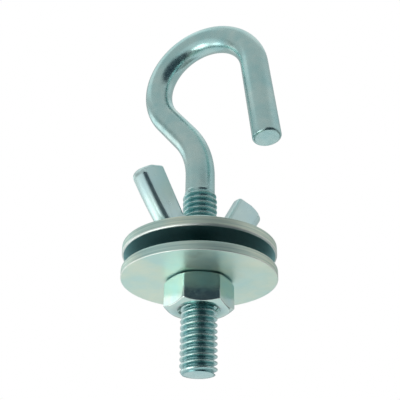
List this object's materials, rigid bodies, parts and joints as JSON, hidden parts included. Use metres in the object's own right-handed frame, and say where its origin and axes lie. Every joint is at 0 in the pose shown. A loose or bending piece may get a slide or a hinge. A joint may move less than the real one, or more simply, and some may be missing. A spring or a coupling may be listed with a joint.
{
  "type": "hook bolt with wing nut",
  "caption": "Open hook bent from threaded rod, with a wing nut, wide washers and a hex nut that clamp a sheet between them.",
  "frame": {"origin": "on the bolt's axis, at the upper face of the lower washer, where the clamped sheet lies", "axes": "+Z along the bolt's axis towards the hook, +X in the hook's plane towards its tip"},
  "size_m": [0.0281, 0.0256, 0.0679],
  "materials": {
    "rod_zinc": "bright zinc plated",
    "wing_nut_zinc": "bright zinc plated",
    "washer_zinc": "bright zinc plated",
    "hex_nut_zinc": "bright zinc plated"
  },
  "bodies": {
    "bolt": {"hook_bolt": "rod_zinc"},
    "upper_washer": {"upper_washer": "washer_zinc"},
    "wing_nut": {"wing_nut": "wing_nut_zinc"},
    "lower_washer": {"lower_washer": "washer_zinc"},
    "hex_nut": {"hex_nut": "hex_nut_zinc"}
  },
  "joints": [
    {"name": "wing_nut_travel", "type": "slide", "parent": "bolt", "child": "upper_washer", "axis": [0, 0, 1], "range_m": [-0.0023, 0.005]},
    {"name": "wing_nut_turn", "type": "hinge", "parent": "upper_washer", "child": "wing_nut", "pos_m": [0, 0, 0.004], "axis": [0, 0, 1], "range_deg": [-828.5, 1800.5]},
    {"name": "hex_nut_travel", "type": "slide", "parent": "bolt", "child": "lower_washer", "axis": [0, 0, 1], "range_m": [-0.009, 0]},
    {"name": "hex_nut_turn", "type": "hinge", "parent": "lower_washer", "child": "hex_nut", "pos_m": [0, 0, -0.0016], "axis": [0, 0, 1], "range_deg": [-3240.5, 0]}
  ],
  "couplings": [
    {"joint": "wing_nut_turn", "follows": "wing_nut_travel", "rad_per_m": 6283.2},
    {"joint": "hex_nut_turn", "follows": "hex_nut_travel", "rad_per_m": 6283.2}
  ]
}
